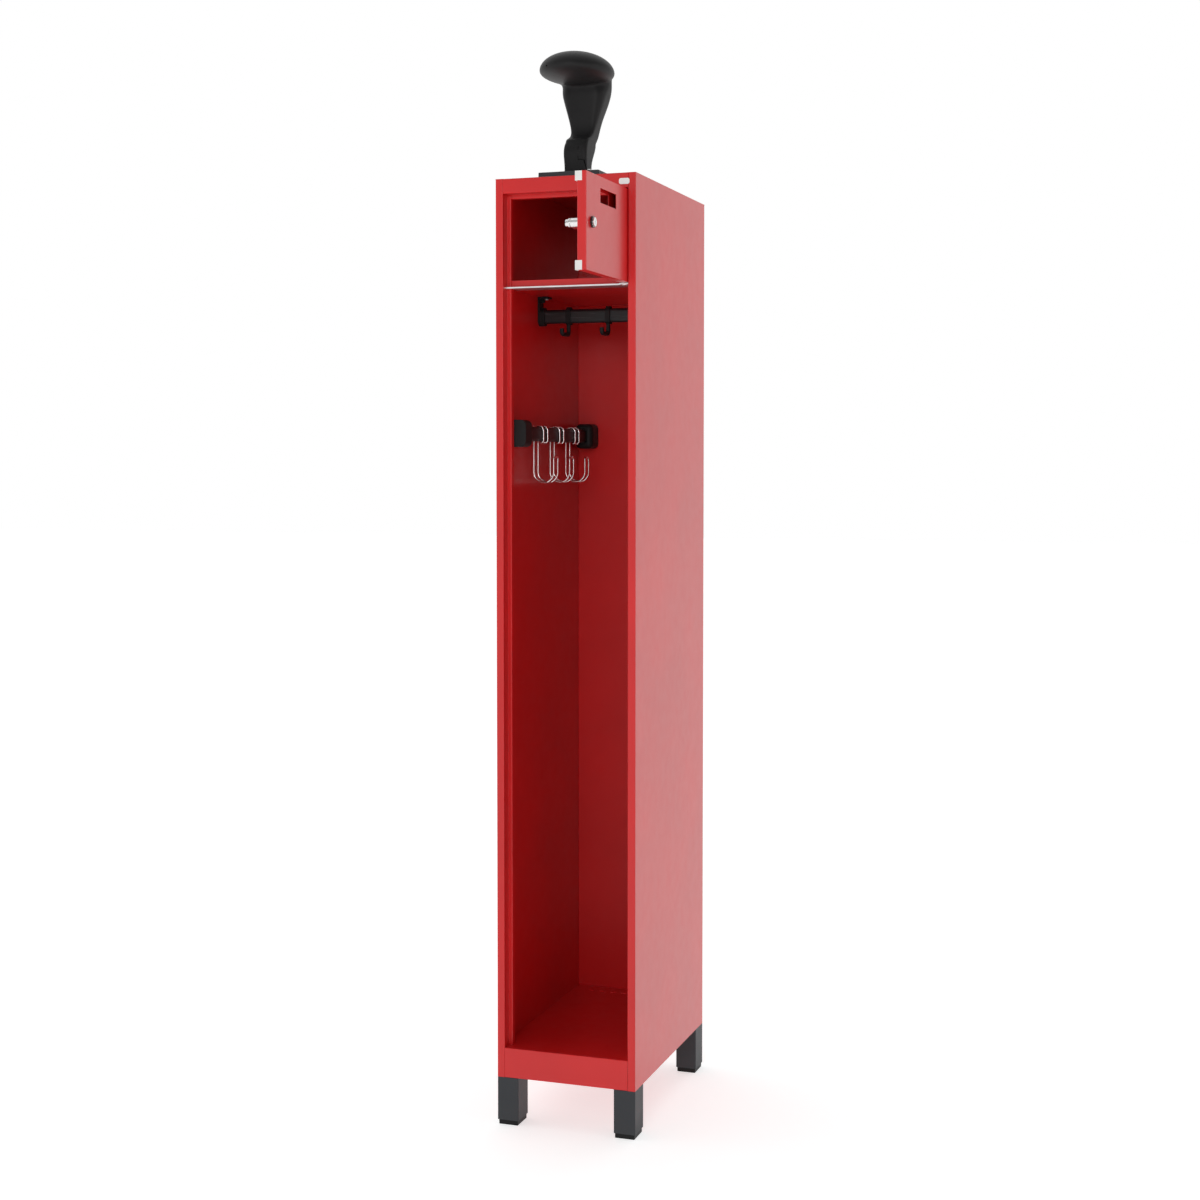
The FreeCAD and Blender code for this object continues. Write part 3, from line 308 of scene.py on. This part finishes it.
# %% Glossy ring and enamel
def glossy_skin(name, base, roughness):
    finish = Finish(name, base, roughness, coat=0.3)
    smears = finish.noise(90.0, 3.0)
    finish.set("Base Color", finish.mixed(smears, tinted(base, 0.95), tinted(base, 1.1)))
    finish.set("Roughness", roughness - 0.04 + smears * 0.1)
    finish.bump(finish.noise(500.0, 1.0), 0.00002)
    return finish.material


finishes = {
    "red_coat": red_powder_coat(),
    "leg_coat": anthracite_coat(),
    "black_moulding": moulded_plastic("black moulding", (0.0165, 0.0162, 0.0166), 0.42, 0.00005, specular=0.11),
    "white_moulding": moulded_plastic("white moulding", (0.80, 0.79, 0.77), 0.42, 0.00003),
    "zinc_sill": bright_metal("zinc strip", (0.82, 0.83, 0.84), 0.30, (0.03, 1.0, 1.0), 0.00003),
    "bright_wire": bright_metal("polished wire", (0.90, 0.87, 0.87), 0.16, (1.0, 1.0, 0.05), 0.00001),
    "lock_metal": bright_metal("nickel casting", (0.86, 0.86, 0.85), 0.24, (1.0, 1.0, 1.0), 0.00004, pebble=0.7),
    "plain_steel": bright_metal("zinc-plated steel", (0.62, 0.62, 0.61), 0.34, (1.0, 1.0, 1.0), 0.00004, pebble=0.5),
    "black_tube": black_tube_coat(),
    "black_ring": glossy_skin("glossy black ring", (0.010, 0.013, 0.014), 0.16),
    "badge": glossy_skin("white enamel", (0.82, 0.82, 0.80), 0.24),
}
print(f"{len(finishes)} finishes")

# %% [markdown]
# ## Dressing the CAD nodes
#
# Every CAD node gets the finish of its slot. Nodes with edges that a real maker rounds, or whose curves should shade
# smoothly, are also copied: the copy's loose triangles are merged and its flat areas joined, so that a bevel can run
# along the true edges. The copy then stands for the node, which stays hidden.

# %% Select nothing but one piece
def select_only(piece):
    if bpy.context.object and bpy.context.object.mode != "OBJECT":
        bpy.ops.object.mode_set(mode="OBJECT")
    bpy.ops.object.select_all(action="DESELECT")
    piece.select_set(True)
    bpy.context.view_layer.objects.active = piece


def dress(piece, slot):
    piece.data.materials.clear()
    piece.data.materials.append(finishes[slot])


for node, cad in nodes.items():
    dress(cad, slot_of[node])
print(f"{len(nodes)} nodes dressed")


# %% A clean copy of a node
MERGE_DISTANCE = 0.005 * MM
FLAT_ANGLE = 0.4


def clean_copy(node):
    """A copy of a CAD node whose loose triangles are merged and whose flat areas are whole faces."""
    piece = nodes[node].copy()
    piece.data = nodes[node].data.copy()
    piece.name = node + "_soft"
    piece.parent = None
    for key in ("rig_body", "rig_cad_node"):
        if key in piece:
            del piece[key]
    bpy.context.scene.collection.objects.link(piece)
    select_only(piece)
    bpy.ops.object.mode_set(mode="EDIT")
    bpy.ops.mesh.select_all(action="SELECT")
    bpy.ops.mesh.remove_doubles(threshold=MERGE_DISTANCE)
    bpy.ops.mesh.dissolve_limited(angle_limit=math.radians(FLAT_ANGLE))
    bpy.ops.object.mode_set(mode="OBJECT")
    return piece


def modify(piece, kind, **settings):
    """Adds a modifier with its settings and applies it."""
    select_only(piece)
    modifier = piece.modifiers.new(kind.lower(), kind)
    for name, value in settings.items():
        setattr(modifier, name, value)
    bpy.ops.object.modifier_apply(modifier=modifier.name)


def smooth_shade(piece, angle):
    """Curves shade smoothly, and the normals lean to the larger faces, so that flat panels still look flat."""
    select_only(piece)
    bpy.ops.object.shade_smooth_by_angle(angle=math.radians(angle))
    modify(piece, "WEIGHTED_NORMAL", weight=100, keep_sharp=True)


def take_over(piece, *replaced):
    """The piece moves with the first node's body and stands for all of them."""
    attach(piece, body_of[replaced[0]])
    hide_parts(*replaced)


def softened(node, radius, angle=30.0):
    """A clean copy with rounded edges, which takes the node's place."""
    piece = clean_copy(node)
    if radius:
        modify(piece, "BEVEL", width=radius, segments=2, limit_method="ANGLE", angle_limit=math.radians(angle))
    smooth_shade(piece, angle)
    take_over(piece, node)
    return piece


print("clean_copy, modify, take_over and softened are ready")

# %% Soften the edges
SOFT_EDGES = {
    "side_panel_left": 0.3, "side_panel_right": 0.3, "roof_panel": 0.3, "floor_panel": 0.3, "back_panel": 0.3,
    "compartment_shelf": 0.3, "door_skin": 0.3, "door_liner": 0.3,
    "leg_front_left": 0.5, "leg_front_right": 0.5, "leg_back_left": 0.5, "leg_back_right": 0.5,
    "glide_front_left": 0.5, "glide_front_right": 0.5, "glide_back_left": 0.5, "glide_back_right": 0.5,
    "rest_plate": 0.3, "coat_rail_tube": 0.2, "hook_rail_tube": 0.2,
    "coat_rail_bracket_left": 0.6, "coat_rail_bracket_right": 0.6,
    "coat_hook_1": 0.4, "coat_hook_2": 0.4, "coat_hook_3": 0.4,
    "hook_rail_cap_front": 0.4, "hook_rail_cap_back": 0.4,
    "wire_hook_1": 0.0, "wire_hook_2": 0.0, "wire_hook_3": 0.0,
    "door_buffer_top": 0.8, "door_buffer_bottom": 0.8,
    "door_sill": 0.3, "lock_ring": 0.5, "lock_housing": 0.4, "lock_plug": 0.3, "lock_cam": 0.3, "lock_cam_screw": 0.3,
    "badge_plate": 0.2,
}
for node, radius in SOFT_EDGES.items():
    softened(node, radius * MM)
print(f"{len(SOFT_EDGES)} pieces softened")

# %% [markdown]
# ## Helmet rest
#
# The real rest is one flowing moulding: the foot, the leaning neck and the wide head run into each other with soft
# hollows, and only a few parting details break the skin. Loose copies of the three CAD solids meet in hard creases.
# A voxel remesh fuses them into one skin, and smoothing it rounds the creases the way a mould maker's fillets do. The
# inner wall of the hollow head comes out of the remesh as a loose shell that nobody sees, so only the largest shell
# is kept.

# %% Fuse the helmet rest
VOXEL = 1.7 * MM
SHOULDER_START, SHOULDER_RISE = 25 * MM, 30 * MM
SHOULDER_OVERLAP, SHOULDER_FALL = 8 * MM, 20 * MM

rest = clean_copy("rest_foot")
for node in ("rest_neck", "rest_head"):
    other = clean_copy(node)
    other.select_set(True)
    rest.select_set(True)
    bpy.context.view_layer.objects.active = rest
    bpy.ops.object.join()
modify(rest, "REMESH", mode="VOXEL", voxel_size=VOXEL)
select_only(rest)
bpy.ops.object.mode_set(mode="EDIT")
bpy.ops.mesh.select_all(action="SELECT")
bpy.ops.mesh.separate(type="LOOSE")
bpy.ops.object.mode_set(mode="OBJECT")
shells = sorted(bpy.context.selected_objects, key=lambda shell: shell.dimensions.length)
rest = shells.pop()
for shell in shells:
    bpy.data.objects.remove(shell)
modify(rest, "SMOOTH", factor=0.5, iterations=10)
neck_low, neck_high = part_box("rest_neck")
shoulder = rest.vertex_groups.new(name="shoulder")
for vertex in rest.data.vertices:
    rising = (vertex.co.z - neck_low[2] - SHOULDER_START) / SHOULDER_RISE
    falling = (neck_high[2] + SHOULDER_OVERLAP - vertex.co.z) / SHOULDER_FALL
    shoulder.add([vertex.index], max(0.0, min(1.0, rising, falling)), "REPLACE")
modify(rest, "SMOOTH", factor=0.5, iterations=70, vertex_group="shoulder")
print(f"helmet rest: {len(rest.data.polygons)} faces, {len(shells)} inner shells dropped")

# %% [markdown]
# ## Details of the helmet rest
#
# Four marks break the rest's skin: a shallow hand grip on top of the head, a small gate hole at its front left, a
# parting line down the foot's front, and a slanted slit beside it where the clip inside is sprung. Each is cut away
# with a tool, as a toolmaker's insert would leave it. A tool is a cube whose edges are bevelled round, so the cut has
# round corners.

# %% Cut the details into the rest
def cutting_tool(place, size, turn, rounding=0.45):
    """A rounded block. Its size is in millimetres, and its rounding is a share of its shortest side."""
    bpy.ops.object.select_all(action="DESELECT")
    bpy.ops.mesh.primitive_cube_add(size=1.0, location=place, rotation=[math.radians(angle) for angle in turn])
    tool = bpy.context.object
    tool.scale = [side * MM for side in size]
    bpy.ops.object.transform_apply(location=True, rotation=True, scale=True)
    modify(tool, "BEVEL", width=min(size) * MM * rounding, segments=4, limit_method="NONE")
    return tool


def carve(piece, tool):
    modify(piece, "BOOLEAN", object=tool, operation="DIFFERENCE", solver="EXACT")
    bpy.data.objects.remove(tool)


foot_low, foot_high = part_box("rest_foot")
head_low, head_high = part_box("rest_head")
foot_face = foot_low[1] + 15.5 * MM
details = {
    "hand grip": ((0.034, head_low[1] + 46 * MM, head_high[2] - 2.0 * MM), (34, 15, 7), (6, 8, 0)),
    "gate hole": ((-0.035, head_low[1] + 12 * MM, head_low[2] + 1.0 * MM), (3.5, 12, 3.5), (0, 0, 0)),
    "parting line": ((0.0075, foot_face, foot_high[2] - 24 * MM), (1.1, 6, 27), (0, 0, 0)),
    "foot of the parting line": ((0.0125, foot_face, foot_high[2] - 37.5 * MM), (11, 6, 1.1), (0, 0, 0)),
    "clip slit": ((0.0215, foot_face + 1 * MM, foot_high[2] - 47 * MM), (2.2, 9, 19), (0, -12, 0)),
}
for place, size, turn in details.values():
    carve(rest, cutting_tool(place, size, turn))
smooth_shade(rest, 35.0)
rest.name = "helmet_rest_moulding"
dress(rest, slot_of["rest_neck"])
take_over(rest, "rest_neck", "rest_foot", "rest_head")
print(f"helmet rest with its details: {len(rest.data.polygons)} faces")

# %% [markdown]
# ## Screw heads
#
# The CAD screws are plain discs on plain shanks. Real pan heads have a rounded rim and a cross recess. The copies get
# a bevelled rim first. The cross is a star made once from a cube, with two pairs of opposite sides pulled out, and
# each screw has its own copy of it, sunk into the middle of its head.

# %% Screw heads
CROSS_WIDE, CROSS_REACH, CROSS_DEEP = 1.1 * MM, 1.5 * MM, 2.6 * MM
TURN_FROM_Z = {1: (90.0, 0.0, 0.0), 2: (0.0, 0.0, 0.0)}


def loose_boxes(node):
    """The lowest and highest corners of each separate solid of a node."""
    probe = clean_copy(node)
    bpy.ops.object.mode_set(mode="EDIT")
    bpy.ops.mesh.select_all(action="SELECT")
    bpy.ops.mesh.separate(type="LOOSE")
    bpy.ops.object.mode_set(mode="OBJECT")
    boxes = []
    for solid in list(bpy.context.selected_objects):
        spots = [vertex.co for vertex in solid.data.vertices]
        boxes.append((Vector([min(spot[axis] for spot in spots) for axis in range(3)]),
                      Vector([max(spot[axis] for spot in spots) for axis in range(3)])))
        bpy.data.objects.remove(solid)
    return boxes


def cross_tool(width, reach, depth):
    """A cross-shaped punch, standing at the origin along Z."""
    bpy.ops.object.select_all(action="DESELECT")
    bpy.ops.mesh.primitive_cube_add(size=width)
    tool = bpy.context.object
    tool.scale[2] = depth / width
    bpy.ops.object.transform_apply(scale=True)
    for axis, sign in ((0, 1), (0, -1), (1, 1), (1, -1)):
        bpy.ops.object.mode_set(mode="OBJECT")
        for face in tool.data.polygons:
            face.select = face.normal[axis] * sign > 0.9 and abs(face.center[axis]) < width * 0.51
        bpy.ops.object.mode_set(mode="EDIT")
        bpy.ops.mesh.select_mode(type="FACE")
        step = [0.0, 0.0, 0.0]
        step[axis] = sign * reach
        bpy.ops.mesh.extrude_region_move(TRANSFORM_OT_translate={"value": step})
        bpy.ops.mesh.select_all(action="DESELECT")
    bpy.ops.object.mode_set(mode="OBJECT")
    return tool


def punched_screws(node, axis, heads_high):
    """Softened screws with a cross in each head; heads_high says for each one if its head is at the high end."""
    boxes = loose_boxes(node)
    piece = clean_copy(node)
    modify(piece, "BEVEL", width=0.5 * MM, segments=3, limit_method="ANGLE", angle_limit=math.radians(40.0))
    for low, high in boxes:
        centre = (low + high) / 2
        centre[axis] = high[axis] if heads_high(centre) else low[axis]
        tool = cross_tool(CROSS_WIDE, CROSS_REACH, CROSS_DEEP)
        tool.rotation_euler = [math.radians(angle) for angle in TURN_FROM_Z[axis]]
        tool.location = centre
        select_only(tool)
        bpy.ops.object.transform_apply(location=True, rotation=True)
        carve(piece, tool)
    smooth_shade(piece, 30.0)
    take_over(piece, node)
    print(f"{node}: {len(boxes)} screws, {len(piece.data.polygons)} faces")


punched_screws("rest_screws", 2, lambda centre: True)
punched_screws("coat_rail_screws", 2, lambda centre: False)
punched_screws("hook_rail_screws", 1, lambda centre: centre[1] < 0.0)

# %% [markdown]
# ## Floor, light and camera
#
# The locker stands on a wide, pale floor that meets a white surround, as in a product studio. The surround lights
# everything evenly. Its reflection at a shallow angle is what turns the right side and the open door pale. Black
# cloths high up at the right and in front of a studio keep the near faces a full red, and the surround is darkened
# there in the same way, but not near the horizon, which stays white behind the locker from every side.

# %% Floor
bpy.ops.object.select_all(action="DESELECT")
bpy.ops.mesh.primitive_plane_add(size=60.0, location=(0.0, 0.0, 0.0))
floor = bpy.context.object
floor.name = "studio_floor"
paper = Finish("pale paper", (0.6, 0.6, 0.6), 0.9, specular=0.1)
fibres = paper.noise(40.0, 3.0)
paper.set("Base Color", paper.mixed(fibres, (0.60, 0.60, 0.60, 1.0), (0.64, 0.64, 0.64, 1.0)))
paper.set("Emission Color", (1.0, 1.0, 1.0, 1.0))
paper.set("Emission Strength", 0.62)
paper.bump(fibres, 0.0002)
floor.data.materials.append(paper.material)
print("floor: 60 m of pale paper")

# %% Light
class Surround(Finish):
    """The studio's walls: a world shader that can use the same sums."""

    def __init__(self, name):
        self.material = bpy.data.worlds.new(name)
        self.material.use_nodes = True
        self.tree = self.material.node_tree
        self.shader = self.tree.nodes["Background"]
        self.place = self.node("ShaderNodeTexCoord", {}, {}, "Generated")


surround = Surround("white surround")
surround.set("Color", (1.0, 1.0, 1.0, 1.0))
high_up = surround.height("Z").between(0.06, 0.3)
to_right = surround.height("X").between(0.2, 0.8)
to_front = (0.0 - surround.height("Y")).between(0.1, 0.6)
surround.set("Strength", 1.0 - (to_right * 0.78 + to_front * 0.6) * high_up)
bpy.context.scene.world = surround.material
bpy.context.scene.view_settings.view_transform = "Standard"
print("surround: white, with dark cloths high up")

# %% [markdown]
# Two disc lights add what an even surround can't. The one in front reaches through the opening to the back of the
# carcass, and the one at the right draws the post's soft shadow on the open door.

# %% Soft lights
def soft_light(name, place, target, size, power):
    lamp = bpy.data.lights.new(name, "AREA")
    lamp.shape = "DISK"
    lamp.size = size
    lamp.energy = power
    holder = bpy.data.objects.new(name, lamp)
    holder.location = place
    holder.rotation_euler = (Vector(target) - Vector(place)).to_track_quat("-Z", "Y").to_euler()
    bpy.context.scene.collection.objects.link(holder)


soft_light("front light", (0.7, -4.2, 2.3), (0.0, 0.0, 1.1), 1.6, 27.0)
soft_light("right light", (4.0, 0.9, 2.6), (0.1, -0.2, 1.4), 1.0, 8.0)
print("two soft lights")

# %% [markdown]
# The camera stands at eye height to the right of the locker's front, far enough away that the sides hardly converge.
# It looks down by two and a half degrees, and a small shift of the lens puts the locker in the middle of the frame.

# %% Camera
camera_data = bpy.data.cameras.new("camera")
camera_data.sensor_width = 36.0
camera_data.lens = 56.188
camera_data.shift_y = -0.043
camera = bpy.data.objects.new("camera", camera_data)
camera.location = (1.29914, -3.81241, 1.36842)
camera.rotation_euler = (math.radians(87.463), 0.0, math.radians(18.965))
bpy.context.scene.collection.objects.link(camera)
bpy.context.scene.camera = camera
print(f"camera at {tuple(camera.location)}")
